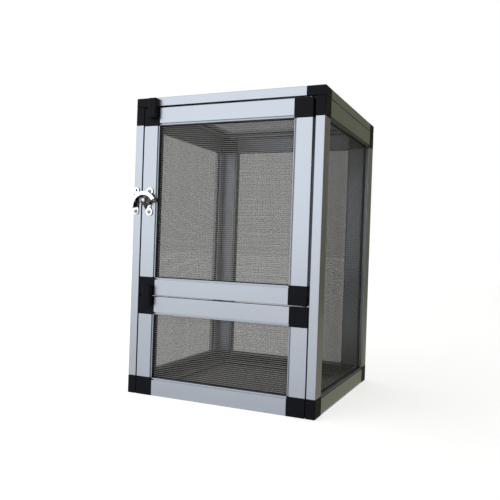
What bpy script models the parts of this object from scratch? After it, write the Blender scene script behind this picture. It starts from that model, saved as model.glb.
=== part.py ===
"""Screen-sided reptile enclosure with a swinging front door and a turning latch.

Seven framed screen panels make the cage: a top, a back, two sides, a floor, a low fixed panel in front
and a door above it. Each panel is four hollow rails on four plastic corner connectors, with a screen
whose thick rim sits in the rails' inner slots. A plain grid of openings stands for each screen's fine
mesh. The back and the floor have their rails and corners in one piece. Pins moulded on the corners join
the panels.

Places are measured in metres from the cage's front left bottom corner: x to the right, y to the back,
z up. An empty at that corner carries everything, so that the origin is the centre of the base of the
whole object's box, latch and stop tabs included.
"""

import math
from dataclasses import dataclass

import bmesh
import bpy
from mathutils import Euler, Matrix, Vector

# Overall size of the cage
WIDTH = 0.305
DEPTH = 0.296
HEIGHT = 0.457

# Rails and panels
PANEL_THICKNESS = 0.014
RAIL_WIDTH = 0.0275
FACE_WIDTH = 0.024
RAIL_WALL = 0.0014
RAIL_INSET = 0.0001
GROOVE_WIDTH = 0.0014
GROOVE_DEPTH = 0.0030
BEAD_DROP = 0.0006
SLOT_FRONT = 0.0066
SLOT_WIDTH = 0.0042
SCREEN_THICKNESS = 0.0005
MESH_COLUMN = 0.025
MESH_ROW = 0.040
MESH_BAR = 0.005
RIM_WIDTH = 0.0026
FRAME_OVERLAP = 0.0010
WEEP_RADIUS = 0.0015

# Corner connectors and the pins between panels
LEG_LENGTH = 0.020
CORNER_BEVEL = 0.0006
JOINING_RADIUS = 0.0020
JOINING_REACH = 0.0080
JOINING_ROOT = 0.0050

# Gaps between pieces
FIT = 0.0003
LOWER_SIDE_GAP = 0.0009
DOOR_LEFT_GAP = 0.0010
DOOR_RIGHT_GAP = 0.0033
DOOR_GAP = 0.0018

# Low front panel and the door's pivots
LOWER_HEIGHT = 0.152
PIVOT_INSET = 0.0050
PIVOT_SETBACK = 0.0055
PIN_RADIUS = 0.0020
PIN_REACH = 0.0080
COLLAR_RADIUS = 0.0036

# Stop tabs on the door's latch side
TAB_WIDTH = 0.014
TAB_HEIGHT = 0.0305
TAB_PROUD = 0.0095
TAB_FROM_LEFT = 0.033
TAB_FROM_TOP = 0.0020
TAB_BEVEL = 0.0018
TAB_PEG_RADIUS = 0.0020
TAB_PEG_LENGTH = 0.0070
TAB_PEG_OFFSET = 0.0080

# Latch plates: sheet thickness, ears, the arcs of their outlines from the top down, in degrees, and screws
PLATE_THICKNESS = 0.0012
KEEPER_FROM_LEFT = 0.0050
KEEPER_EARS = (0.2820, 0.3147)
KEEPER_EAR_RADIUS = 0.0046
KEEPER_ARCS = ((-20, 200), (160, 380))
BASE_FROM_LEFT = 0.0291
BASE_EARS = (0.2811, 0.3131)
BASE_EAR_RADIUS = 0.0058
BASE_HUB_RADIUS = 0.0075
BASE_ARCS = ((-60, 200), (120, 240), (160, 420))
SPARE_HOLE_RADIUS = 0.0012
SPARE_HOLE = (0.0309, 0.2885)
EAR_HOLE_RADIUS = 0.0018
SCREW_RADIUS = 0.0014
SCREW_LENGTH = 0.0080
SCREW_HEAD_RADIUS = 0.0027
SCREW_HEAD_HEIGHT = 0.0011
SCREW_HEAD_EDGE = 0.0004
RECESS_WIDTH = 0.0006
RECESS_LENGTH = 0.0030
RECESS_DEPTH = 0.0007
RECESS_ROOT = 1.4

# Latch lever: an arched band that joins a hub and a thumb tab, all turning on a rivet
LATCH_PIVOT = (0.0211, 0.2995)
ARCH_CENTRE = (0.0205, 0.2900)
ARCH_RADIUS = 0.02045
ARCH_BAND = 0.0057
ARCH_START = 35
ARCH_INNER_END = 100
HUB_CENTRE = (0.0245, 0.2985)
HUB_RADIUS = 0.0080
HUB_ARC = (110, 340)
THUMB_END = 0.0455
THUMB_SPAN = (0.2970, 0.3020)
LEVER_THICKNESS = 0.0030
SPACER_HEIGHT = 0.0014
SPACER_RADIUS = 0.0050
RIVET_RADIUS = 0.0025
RIVET_CAP_RADIUS = 0.0032
RIVET_CAP_HEIGHT = 0.0022
RIVET_TAIL = 0.0045
PEG_PLACE = (0.0070, 0.2970)
PEG_RADIUS = 0.0016

# Flat sides on round pieces, how near two points are one, and the angle below which two faces are one
ROD_SIDES = 12
TURNED_STEPS = 16
ARC_STEP = 12
WELD_DISTANCE = 0.000001
FLAT_ANGLE = 0.001

# Worked out from the sizes above
BODY_HEIGHT = HEIGHT - PANEL_THICKNESS - FIT
INNER_WIDTH = WIDTH - 2 * PANEL_THICKNESS
DOOR_LEFT = PANEL_THICKNESS + DOOR_LEFT_GAP
DOOR_RIGHT = WIDTH - PANEL_THICKNESS - DOOR_RIGHT_GAP
DOOR_BOTTOM = LOWER_HEIGHT + DOOR_GAP
DOOR_TOP = HEIGHT - PANEL_THICKNESS - DOOR_GAP
PIVOT_X = DOOR_RIGHT - PIVOT_INSET
PLATE_FRONT = FIT + PLATE_THICKNESS
LEVER_BACK = PLATE_FRONT + SPACER_HEIGHT + FIT
LEVER_FRONT = LEVER_BACK + LEVER_THICKNESS
TIP_OVERHANG = ARCH_RADIUS + ARCH_BAND / 2 - ARCH_CENTRE[0]
CORNER = Vector(((TIP_OVERHANG - WIDTH) / 2, (TAB_PROUD - DEPTH) / 2, 0))

# Directions that the panels' outer faces look in, as turns of a panel drawn flat, face up
FACE_FRONT = Euler((math.radians(90), 0, 0))
FACE_BACK = Euler((math.radians(90), 0, math.radians(180)))
FACE_LEFT = Euler((math.radians(90), 0, math.radians(-90)))
FACE_RIGHT = Euler((math.radians(90), 0, math.radians(90)))
FACE_UP = Euler((0, 0, 0))
FACE_DOWN = Euler((math.radians(180), 0, 0))


@dataclass(frozen=True)
class Anchor:
    """An empty that carries pieces, and its place from the cage's corner."""

    empty: bpy.types.Object
    spot: Vector


@dataclass(frozen=True)
class Panel:
    """A framed screen: its outer size, the middle of its outer face, its turn and its sides' names.

    The sides go from the one at the bottom of the flat drawing to the right, top and left ones.
    """

    name: str
    width: float
    height: float
    spot: Vector
    turn: Euler
    sides: tuple
    one_piece_frame: bool = False


@dataclass(frozen=True)
class Rod:
    """A round bar between two points, both from the cage's corner."""

    start: Vector
    end: Vector
    radius: float


@dataclass(frozen=True)
class JoiningPin:
    """A pin moulded on one piece, the owner, that plugs into a bore in another, the socket."""

    owner: str
    socket: str
    rod: Rod


def clear_scene():
    """Removes every object that the scene holds."""
    for obj in list(bpy.data.objects):
        bpy.data.objects.remove(obj, do_unlink=True)


def new_collection(name):
    """Returns a new collection of the scene."""
    made = bpy.data.collections.new(name)
    bpy.context.scene.collection.children.link(made)
    return made


def new_material(name, color, roughness, metallic):
    """Returns a Principled material of one colour."""
    made = bpy.data.materials.new(name)
    made.use_nodes = True
    made.diffuse_color = (*color, 1)
    shader = made.node_tree.nodes["Principled BSDF"]
    shader.inputs["Base Color"].default_value = (*color, 1)
    shader.inputs["Roughness"].default_value = roughness
    shader.inputs["Metallic"].default_value = metallic
    return made


def new_anchor(name, spot, parent=None):
    """Returns an anchor at spot, carried by the parent anchor."""
    empty = bpy.data.objects.new(name, None)
    PARTS.objects.link(empty)
    if parent:
        empty.parent = parent.empty
        empty.location = spot - parent.spot
    else:
        empty.location = CORNER + spot
    return Anchor(empty, spot)


def new_object(name, mesh, material, collection=None):
    """Returns a mesh object in the parts' collection, or in another one."""
    obj = bpy.data.objects.new(name, mesh)
    (collection or PARTS).objects.link(obj)
    if material:
        mesh.materials.clear()
        mesh.materials.append(material)
    return obj


def attach(obj, anchor, spot=None):
    """Hangs an object on an anchor, at a place from the cage's corner, or at that corner itself."""
    obj.parent = anchor.empty
    obj.location = (spot or Vector()) - anchor.spot
    return obj


def mesh_from(build):
    """Returns a mesh with what build adds to an empty bmesh."""
    bm = bmesh.new()
    build(bm)
    bmesh.ops.recalc_face_normals(bm, faces=bm.faces)
    mesh = bpy.data.meshes.new("mesh")
    bm.to_mesh(mesh)
    bm.free()
    return mesh


def evaluated_mesh(obj):
    """Returns an object's mesh with its modifiers applied, and removes the object."""
    graph = bpy.context.evaluated_depsgraph_get()
    mesh = bpy.data.meshes.new_from_object(obj.evaluated_get(graph))
    bpy.data.objects.remove(obj, do_unlink=True)
    return mesh


def extruded(outlines, thickness):
    """Returns a plate up from z = 0, with the first outline as its edge and holes at the others."""
    curve = bpy.data.curves.new("outline", "CURVE")
    curve.dimensions = "2D"
    curve.fill_mode = "BOTH"
    curve.extrude = thickness / 2
    for outline in outlines:
        spline = curve.splines.new("POLY")
        spline.points.add(len(outline) - 1)
        spline.use_cyclic_u = True
        for point, (x, y) in zip(spline.points, outline):
            point.co = (x, y, 0, 1)
    flat = bpy.data.objects.new("outline", curve)
    PARTS.objects.link(flat)
    mesh = evaluated_mesh(flat)
    bm = bmesh.new()
    bm.from_mesh(mesh)
    bmesh.ops.remove_doubles(bm, verts=bm.verts, dist=WELD_DISTANCE)
    bmesh.ops.dissolve_limit(bm, angle_limit=FLAT_ANGLE, verts=bm.verts, edges=bm.edges)
    bmesh.ops.translate(bm, verts=bm.verts, vec=(0, 0, thickness / 2))
    bmesh.ops.recalc_face_normals(bm, faces=bm.faces)
    bm.to_mesh(mesh)
    bm.free()
    return mesh


def add_box(bm, low, high):
    """Adds a box between two corners."""
    size = Vector(high) - Vector(low)
    place = Matrix.Translation((Vector(low) + Vector(high)) / 2)
    bmesh.ops.create_cube(bm, size=1, matrix=place @ Matrix.Diagonal((*size, 1)))


def box_mesh(low, high):
    """Returns a box between two corners."""

    def build(bm):
        add_box(bm, low, high)

    return mesh_from(build)


def add_rod(bm, rod, grow=0):
    """Adds a round bar, longer and thicker by grow on every side."""
    run = rod.end - rod.start
    turn = run.to_track_quat("Z", "Y").to_matrix().to_4x4()
    radius = rod.radius + grow
    bmesh.ops.create_cone(
        bm,
        cap_ends=True,
        segments=ROD_SIDES,
        radius1=radius,
        radius2=radius,
        depth=run.length + 2 * grow,
        matrix=Matrix.Translation((rod.start + rod.end) / 2) @ turn,
    )


def rods_mesh(rods, grow=0):
    """Returns a mesh of separate round bars."""

    def build(bm):
        for rod in rods:
            add_rod(bm, rod, grow)

    return mesh_from(build)


def new_cutter(name, mesh, anchor):
    """Returns an object that only cuts others."""
    obj = attach(new_object(name, mesh, None, CUTTERS), anchor)
    obj.hide_render = True
    obj.display_type = "WIRE"
    return obj


def combine(obj, other, operation):
    """Adds a Boolean modifier that cuts or joins an object with another."""
    modifier = obj.modifiers.new(other.name, "BOOLEAN")
    modifier.operation = operation
    modifier.solver = "EXACT"
    modifier.object = other


def joined_mesh(base, *others):
    """Returns the union of meshes that overlap each other."""
    obj = new_object("base", base, None)
    helpers = [new_object("other", mesh, None) for mesh in others]
    for helper in helpers:
        combine(obj, helper, "UNION")
    mesh = evaluated_mesh(obj)
    for helper in helpers:
        bpy.data.objects.remove(helper, do_unlink=True)
    return mesh


def cut_mesh(base, cutter):
    """Returns a mesh less the cutter's volume."""
    obj = new_object("base", base, None)
    helper = new_object("cutter", cutter, None)
    combine(obj, helper, "DIFFERENCE")
    mesh = evaluated_mesh(obj)
    bpy.data.objects.remove(helper, do_unlink=True)
    return mesh


def turned_mesh(profile):
    """Returns a profile, given as radius and height from top to bottom, turned about Z."""

    def build(bm):
        points = [bm.verts.new((radius, 0, height)) for radius, height in profile]
        for upper, lower in zip(points, points[1:]):
            bm.edges.new((upper, lower))

    obj = new_object("profile", mesh_from(build), None)
    screw = obj.modifiers.new("turn", "SCREW")
    screw.axis = "Z"
    screw.steps = TURNED_STEPS
    screw.render_steps = TURNED_STEPS
    screw.use_merge_vertices = True
    screw.merge_threshold = WELD_DISTANCE
    return evaluated_mesh(obj)


def arc(centre, radius, start, end):
    """Returns points on an arc from start to end, in degrees, about every ARC_STEP degrees."""
    steps = max(2, math.ceil(abs(end - start) / ARC_STEP))
    angles = [math.radians(start + (end - start) * step / steps) for step in range(steps + 1)]
    return [(centre[0] + radius * math.cos(a), centre[1] + radius * math.sin(a)) for a in angles]


def rail_outlines():
    """Returns the rail's section and its hollow: x from the outer edge inwards, y = 0 at the outer face."""
    bead = FACE_WIDTH + GROOVE_WIDTH
    slot_back = SLOT_FRONT + SLOT_WIDTH
    front = RAIL_INSET
    back = PANEL_THICKNESS - RAIL_INSET
    floor_of_back_groove = back - RAIL_WALL
    front_side = [
        (RAIL_INSET, front),
        (FACE_WIDTH, front),
        (FACE_WIDTH, GROOVE_DEPTH),
        (bead, GROOVE_DEPTH),
        (bead, BEAD_DROP),
        (RAIL_WIDTH - RAIL_INSET, BEAD_DROP),
        (RAIL_WIDTH - RAIL_INSET, SLOT_FRONT),
        (FACE_WIDTH, SLOT_FRONT),
    ]
    back_side = [
        (FACE_WIDTH, slot_back),
        (RAIL_WIDTH - RAIL_INSET, slot_back),
        (RAIL_WIDTH - RAIL_INSET, PANEL_THICKNESS - BEAD_DROP),
        (bead, PANEL_THICKNESS - BEAD_DROP),
        (bead, floor_of_back_groove),
        (FACE_WIDTH, floor_of_back_groove),
        (FACE_WIDTH, back),
        (RAIL_INSET, back),
    ]
    left, right = hollow_sides()
    near, far = hollow_depths()
    hollow = [(left, near), (right, near), (right, far), (left, far)]
    return [[(x, -y) for x, y in points] for points in (front_side + back_side, hollow)]


def hollow_sides():
    """Returns how far the hollow's two sides are from the rail's outer edge."""
    return RAIL_INSET + RAIL_WALL, FACE_WIDTH - RAIL_WALL


def hollow_depths():
    """Returns the depths of the hollow's front and back behind the panel's outer face."""
    return RAIL_INSET + RAIL_WALL, PANEL_THICKNESS - RAIL_INSET - RAIL_WALL


def add_block(bm):
    """Adds a corner's square block, with its outer corner at the origin and its outer face at z = 0."""
    before = set(bm.edges)
    add_box(bm, (0, 0, -PANEL_THICKNESS), (RAIL_WIDTH, RAIL_WIDTH, 0))
    added = [edge for edge in bm.edges if edge not in before]
    bmesh.ops.bevel(bm, geom=added, offset=CORNER_BEVEL, segments=1, affect="EDGES")


def corner_mesh():
    """Returns one corner connector: a square block with a leg into each of the two rails that meet there."""
    left, right = hollow_sides()
    front, back = hollow_depths()
    root = RAIL_WIDTH - FRAME_OVERLAP
    end = RAIL_WIDTH + LEG_LENGTH

    leg_along_x = box_mesh((root, left + FIT, FIT - back), (end, right - FIT, -front - FIT))
    leg_along_y = box_mesh((left + FIT, root, FIT - back), (right - FIT, end, -front - FIT))
    return joined_mesh(mesh_from(add_block), leg_along_x, leg_along_y)


def quarter_turns(panel):
    """Yields each side's turn in degrees, the distance across the panel and the run along the side."""
    for quarter in range(4):
        across, run = (panel.height, panel.width) if quarter % 2 == 0 else (panel.width, panel.height)
        yield 90 * quarter, across, run


def corner_name(panel, quarter):
    """Returns the name of the corner where a side starts."""
    order = ("top", "bottom", "front", "back", "left", "right")
    words = sorted((panel.sides[quarter], panel.sides[quarter - 1]), key=order.index)
    return f"{panel.name}_{words[0]}_{words[1]}_corner"


def rail_length(run):
    """Returns the length of a rail that butts against two corner blocks."""
    return run - 2 * (RAIL_WIDTH + FIT)


def build_rails(panel, frame):
    """Builds a panel's four hollow rails as separate pieces."""
    for side, (turn, across, run) in zip(panel.sides, quarter_turns(panel)):
        length = rail_length(run)
        rail = new_object(f"{panel.name}_{side}_rail", extruded(rail_outlines(), length), ALUMINIUM)
        rail.parent = frame
        rail.location = Matrix.Rotation(math.radians(turn), 4, "Z") @ Vector((-length / 2, -across / 2, 0))
        rail.rotation_euler = (math.radians(90), 0, math.radians(90 + turn))


def build_corners(panel, frame, connector):
    """Builds a panel's four corner connectors as separate pieces that share one mesh."""
    for quarter, (turn, across, run) in enumerate(quarter_turns(panel)):
        corner = new_object(corner_name(panel, quarter), connector, BLACK_PLASTIC)
        corner.parent = frame
        corner.location = Matrix.Rotation(math.radians(turn), 4, "Z") @ Vector((-run / 2, -across / 2, 0))
        corner.rotation_euler = (0, 0, math.radians(turn))


def build_one_piece_frame(panel, frame):
    """Builds a panel's rails and corner blocks as one piece, with a weep hole into each rail's hollow."""
    weep_depth = Vector((0, 2 * RAIL_WALL, 0))
    upright = Euler((math.radians(90), 0, math.radians(90))).to_matrix().to_4x4()
    pieces = []
    for turn, across, run in quarter_turns(panel):
        length = rail_length(run) + 2 * (FIT + FRAME_OVERLAP)
        hole = Vector((0, -across / 2, -PANEL_THICKNESS / 2))
        rail = extruded(rail_outlines(), length)
        rail.transform(Matrix.Translation((-length / 2, -across / 2, 0)) @ upright)
        block = mesh_from(add_block)
        block.transform(Matrix.Translation((-run / 2, -across / 2, 0)))
        weep = rods_mesh([Rod(hole - weep_depth, hole + weep_depth, WEEP_RADIUS)])
        for piece in (block, cut_mesh(rail, weep)):
            piece.transform(Matrix.Rotation(math.radians(turn), 4, "Z"))
            pieces.append(piece)
    whole = new_object(f"{panel.name}_frame", joined_mesh(*pieces), ALUMINIUM)
    whole.parent = frame


def opening_places(span, pitch):
    """Returns the middles of the openings along a span, no further apart than the pitch, and their width."""
    count = math.ceil(span / pitch)
    cell = span / count
    return [(index + 0.5) * cell - span / 2 for index in range(count)], cell - MESH_BAR


def mesh_openings(width, height, level):
    """Returns cutters for a sheet at that level: a plain grid that stands for the sheet's fine mesh."""
    columns, wide = opening_places(width, MESH_COLUMN)
    rows, tall = opening_places(height, MESH_ROW)
    reach = Vector((wide / 2, tall / 2, 2 * SCREEN_THICKNESS))

    def build(bm):
        for x in columns:
            for y in rows:
                middle = Vector((x, y, level))
                add_box(bm, middle - reach, middle + reach)

    return mesh_from(build)


def build_screen(panel, frame):
    """Builds a panel's screen: a plate notched round the corner blocks, thin and open inside its rim."""
    rim = FACE_WIDTH + FIT
    notch = RAIL_WIDTH + FIT
    wide = panel.width / 2
    tall = panel.height / 2
    relief = (wide - notch - FIT, tall - notch - FIT)
    quarter = [(wide - notch, tall - rim), relief, (wide - rim, tall - notch)]
    top_right = list(reversed(quarter))
    top_left = [(-x, y) for x, y in quarter]
    outline = top_right + top_left + [(-x, -y) for x, y in top_right + top_left]
    depth = SLOT_WIDTH - 2 * FIT
    plate = extruded([outline], depth)
    inside = Vector((wide - rim - RIM_WIDTH, tall - rim - RIM_WIDTH, 0))
    floor = Vector((0, 0, depth - SCREEN_THICKNESS))
    pocket = box_mesh(-inside - floor, inside + floor)
    openings = mesh_openings(2 * inside.x, 2 * inside.y, depth)
    screen = new_object(f"{panel.name}_screen", cut_mesh(cut_mesh(plate, pocket), openings), SCREEN)
    screen.parent = frame
    screen.location.z = FIT - SLOT_FRONT - SLOT_WIDTH


def build_panel(panel, anchor, connector):
    """Builds a framed screen panel."""
    frame = bpy.data.objects.new(f"{panel.name}_panel", None)
    PARTS.objects.link(frame)
    attach(frame, anchor, panel.spot)
    frame.rotation_euler = panel.turn
    if panel.one_piece_frame:
        build_one_piece_frame(panel, frame)
    else:
        build_rails(panel, frame)
        build_corners(panel, frame, connector)
    build_screen(panel, frame)


def fixed_panels():
    """Returns the six panels that don't move. Their sides are named as seen from the front."""
    middle = WIDTH / 2
    depth_middle = DEPTH / 2
    rise_middle = BODY_HEIGHT / 2
    inner = INNER_WIDTH - 2 * FIT
    floor_depth = DEPTH - 2 * PANEL_THICKNESS - 2 * FIT
    lower = INNER_WIDTH - 2 * LOWER_SIDE_GAP
    front = ("bottom", "right", "top", "left")
    return [
        Panel("top", WIDTH, DEPTH, Vector((middle, depth_middle, HEIGHT)), FACE_UP,
              ("front", "right", "back", "left")),
        Panel("back", inner, BODY_HEIGHT, Vector((middle, DEPTH, rise_middle)), FACE_BACK,
              ("bottom", "left", "top", "right"), one_piece_frame=True),
        Panel("left_side", DEPTH, BODY_HEIGHT, Vector((0, depth_middle, rise_middle)), FACE_LEFT,
              ("bottom", "front", "top", "back")),
        Panel("right_side", DEPTH, BODY_HEIGHT, Vector((WIDTH, depth_middle, rise_middle)), FACE_RIGHT,
              ("bottom", "back", "top", "front")),
        Panel("floor", inner, floor_depth, Vector((middle, depth_middle, 0)), FACE_DOWN,
              ("back", "right", "front", "left"), one_piece_frame=True),
        Panel("lower_front", lower, LOWER_HEIGHT, Vector((middle, 0, LOWER_HEIGHT / 2)), FACE_FRONT, front),
    ]


def door_panel():
    """Returns the door."""
    middle = Vector(((DOOR_LEFT + DOOR_RIGHT) / 2, 0, (DOOR_BOTTOM + DOOR_TOP) / 2))
    sides = ("bottom", "right", "top", "left")
    return Panel("door", DOOR_RIGHT - DOOR_LEFT, DOOR_TOP - DOOR_BOTTOM, middle, FACE_FRONT, sides)


def joining_pins():
    """Returns the pins that join the panels, each from inside its owner to inside its socket."""
    pins = []
    mid = PANEL_THICKNESS / 2
    block = RAIL_WIDTH / 2
    joint = HEIGHT - PANEL_THICKNESS
    shared = (PANEL_THICKNESS + RAIL_WIDTH) / 2
    for side, edge, inwards in (("left", 0, 1), ("right", WIDTH, -1)):
        across = edge + inwards * mid
        face = edge + inwards * PANEL_THICKNESS
        root = face + inwards * (FIT + LOWER_SIDE_GAP + JOINING_ROOT)
        tip = face - inwards * JOINING_REACH
        sideways = []
        for end, block_y, shared_y in (("front", block, shared), ("back", DEPTH - block, DEPTH - shared)):
            upper = Vector((across, block_y, joint + JOINING_ROOT))
            rod = Rod(upper, Vector((across, block_y, joint - JOINING_REACH)), JOINING_RADIUS)
            pins.append(JoiningPin(f"top_{end}_{side}_corner", f"{side}_side_top_{end}_corner", rod))
            sideways.append(("floor_frame", f"bottom_{end}_corner", shared_y, mid))
        sideways.append((f"lower_front_bottom_{side}_corner", "bottom_front_corner", mid, block))
        sideways.append((f"lower_front_top_{side}_corner", "front_rail", mid, LOWER_HEIGHT - block))
        sideways.append(("back_frame", "bottom_back_corner", DEPTH - mid, block))
        sideways.append(("back_frame", "top_back_corner", DEPTH - mid, BODY_HEIGHT - block))
        for owner, socket, y, z in sideways:
            rod = Rod(Vector((root, y, z)), Vector((tip, y, z)), JOINING_RADIUS)
            pins.append(JoiningPin(owner, f"{side}_side_{socket}", rod))
    return pins


def pivot_gaps():
    """Returns the heights below and above each of the door's two pivot gaps, named by where they are."""
    return {"lower": (LOWER_HEIGHT, DOOR_BOTTOM), "upper": (DOOR_TOP, HEIGHT - PANEL_THICKNESS)}


def pivot_rod(gap):
    """Returns a pivot pin's shank, half in the door and half in the fixed frame."""
    low, high = gap
    start = Vector((PIVOT_X, PIVOT_SETBACK, low - PIN_REACH))
    return Rod(start, Vector((PIVOT_X, PIVOT_SETBACK, high + PIN_REACH)), PIN_RADIUS)


def pivot_mesh(gap):
    """Returns a pivot pin with the collar that keeps the door off the frame."""
    low, high = (Vector((PIVOT_X, PIVOT_SETBACK, height)) for height in gap)
    clearance = Vector((0, 0, FIT))
    collar = Rod(low + clearance, high - clearance, COLLAR_RADIUS)
    return joined_mesh(rods_mesh([pivot_rod(gap)]), rods_mesh([collar]))


def tab_places():
    """Returns each stop tab's middle height and the way from there to the door, 1 for up and -1 for down."""
    upper = HEIGHT - TAB_FROM_TOP - TAB_HEIGHT / 2
    lower = LOWER_HEIGHT + DOOR_GAP / 2
    return {"upper": (upper, -1), "lower": (lower, 1)}


def tab_peg(place):
    """Returns the peg that holds a stop tab in the door's corner block."""
    height, towards_door = place
    z = height + towards_door * TAB_PEG_OFFSET
    start = Vector((TAB_FROM_LEFT, -TAB_PROUD / 2, z))
    return Rod(start, Vector((TAB_FROM_LEFT, TAB_PEG_LENGTH, z)), TAB_PEG_RADIUS)


def tab_mesh(place):
    """Returns a stop tab, which overlaps the fixed frame in front and stops the door there."""
    height, _ = place

    def block(bm):
        low = (TAB_FROM_LEFT - TAB_WIDTH / 2, -TAB_PROUD, height - TAB_HEIGHT / 2)
        high = (TAB_FROM_LEFT + TAB_WIDTH / 2, -FIT, height + TAB_HEIGHT / 2)
        add_box(bm, low, high)
        front = [edge for edge in bm.edges if min(vert.co.y for vert in edge.verts) < -TAB_PROUD / 2]
        bmesh.ops.bevel(bm, geom=front, offset=TAB_BEVEL, segments=2, profile=0.5, affect="EDGES")

    return joined_mesh(mesh_from(block), rods_mesh([tab_peg(place)]))


def front_plate(outlines, back, thickness):
    """Returns a plate in front of the cage's face, drawn as seen from the front, x to the right and z up."""
    mesh = extruded(outlines, thickness)
    mesh.transform(Matrix.Translation((0, -back, 0)) @ Matrix.Rotation(math.radians(90), 4, "X"))
    return mesh


def circle(centre, radius):
    """Returns the points of a round outline."""
    return arc(centre, radius, 0, 360)[:-1]


def front_rod(place, radius, back, front):
    """Returns a round bar square to the cage's face, between two distances in front of it."""
    x, z = place
    return Rod(Vector((x, -back, z)), Vector((x, -front, z)), radius)


def keeper_mesh():
    """Returns the post's keeper plate: two ears, a body between them and the peg under the lever's arch."""
    lower, upper = KEEPER_EARS
    upper_arc, lower_arc = KEEPER_ARCS
    outline = arc((KEEPER_FROM_LEFT, upper), KEEPER_EAR_RADIUS, *upper_arc)
    outline += arc((KEEPER_FROM_LEFT, lower), KEEPER_EAR_RADIUS, *lower_arc)
    holes = [circle((KEEPER_FROM_LEFT, height), EAR_HOLE_RADIUS) for height in KEEPER_EARS]
    plate = front_plate([outline, *holes], FIT, PLATE_THICKNESS)
    peg = front_rod(PEG_PLACE, PEG_RADIUS, FIT + PLATE_THICKNESS / 2, LEVER_FRONT)
    return joined_mesh(plate, rods_mesh([peg]))


def base_mesh():
    """Returns the door's latch plate: two ears, a hub and the spacer that carries the lever."""
    lower, upper = BASE_EARS
    upper_arc, hub_arc, lower_arc = BASE_ARCS
    outline = arc((BASE_FROM_LEFT, upper), BASE_EAR_RADIUS, *upper_arc)
    outline += arc(LATCH_PIVOT, BASE_HUB_RADIUS, *hub_arc)
    outline += arc((BASE_FROM_LEFT, lower), BASE_EAR_RADIUS, *lower_arc)
    holes = [circle((BASE_FROM_LEFT, height), EAR_HOLE_RADIUS) for height in BASE_EARS]
    holes.append(circle(SPARE_HOLE, SPARE_HOLE_RADIUS))
    plate = front_plate([outline, *holes], FIT, PLATE_THICKNESS)
    spacer = front_rod(LATCH_PIVOT, SPACER_RADIUS, FIT + PLATE_THICKNESS / 2, PLATE_FRONT + SPACER_HEIGHT)
    bore = front_rod(LATCH_PIVOT, RIVET_RADIUS, 0, PLATE_FRONT + SPACER_HEIGHT)
    return cut_mesh(joined_mesh(plate, rods_mesh([spacer])), rods_mesh([bore], FIT))


def lever_mesh():
    """Returns the latch lever: the arched band with its round tip, the hub and the thumb tab."""
    outer = ARCH_RADIUS + ARCH_BAND / 2
    inner = ARCH_RADIUS - ARCH_BAND / 2
    tip = (ARCH_CENTRE[0] - ARCH_RADIUS, ARCH_CENTRE[1])
    outline = arc(ARCH_CENTRE, outer, ARCH_START, 180)
    outline += arc(tip, ARCH_BAND / 2, 180, 360)[1:]
    outline += arc(ARCH_CENTRE, inner, 180, ARCH_INNER_END)[1:]
    outline += arc(HUB_CENTRE, HUB_RADIUS, *HUB_ARC)
    outline += [(THUMB_END, height) for height in THUMB_SPAN]
    bore = circle(LATCH_PIVOT, RIVET_RADIUS + FIT)
    return front_plate([outline, bore], LEVER_BACK, LEVER_THICKNESS)


def front_facing(mesh, place, back):
    """Turns a piece about the front's normal, top forwards, with its z = 0 at back in front of the face."""
    x, z = place
    mesh.transform(Matrix.Translation((x, -back, z)) @ Matrix.Rotation(math.radians(90), 4, "X"))
    return mesh


def rivet_mesh():
    """Returns the rivet that the lever turns on: a domed cap, a shank and a tail inside the rail."""
    under = LEVER_FRONT + FIT
    dome_radius = (RIVET_CAP_RADIUS**2 + RIVET_CAP_HEIGHT**2) / (2 * RIVET_CAP_HEIGHT)
    dome_centre = under + RIVET_CAP_HEIGHT - dome_radius
    rim = math.degrees(math.asin((under - dome_centre) / dome_radius))
    dome = arc((0, dome_centre), dome_radius, 90, rim)
    dome[0] = (0, under + RIVET_CAP_HEIGHT)
    profile = dome + [(RIVET_RADIUS, under), (RIVET_RADIUS, -RIVET_TAIL), (0, -RIVET_TAIL)]
    return front_facing(turned_mesh(profile), LATCH_PIVOT, 0)


def screw_mesh(place):
    """Returns a pan head screw with a cross recess, seated on a latch plate."""
    seat = PLATE_FRONT + FIT
    top = seat + SCREW_HEAD_HEIGHT
    profile = [
        (0, top),
        (SCREW_HEAD_RADIUS - SCREW_HEAD_EDGE, top),
        (SCREW_HEAD_RADIUS, top - SCREW_HEAD_EDGE),
        (SCREW_HEAD_RADIUS, seat),
        (SCREW_RADIUS, seat),
        (SCREW_RADIUS, seat - SCREW_LENGTH + SCREW_RADIUS),
        (0, seat - SCREW_LENGTH),
    ]

    def recess(bm):
        long = RECESS_LENGTH / 2
        thin = RECESS_WIDTH / 2
        root = thin * RECESS_ROOT
        outline = [(long, -thin), (long, thin), (root, root), (thin, long), (-thin, long), (-root, root)]
        outline += [(-x, -y) for x, y in outline]
        bm.from_mesh(extruded([outline], 2 * RECESS_DEPTH))
        bmesh.ops.translate(bm, verts=bm.verts, vec=(0, 0, top - RECESS_DEPTH))

    return front_facing(cut_mesh(turned_mesh(profile), mesh_from(recess)), place, 0)


def fastener_rods():
    """Returns the bores that the latch's screws and rivet need in the rails behind it."""
    base = [front_rod((BASE_FROM_LEFT, height), SCREW_RADIUS, -SCREW_LENGTH, 0) for height in BASE_EARS]
    keeper = front_rod((KEEPER_FROM_LEFT, KEEPER_EARS[0]), SCREW_RADIUS, -SCREW_LENGTH, 0)
    rivet = front_rod(LATCH_PIVOT, RIVET_RADIUS, -SCREW_LENGTH, 0)
    return [*base, keeper, rivet]


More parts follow.
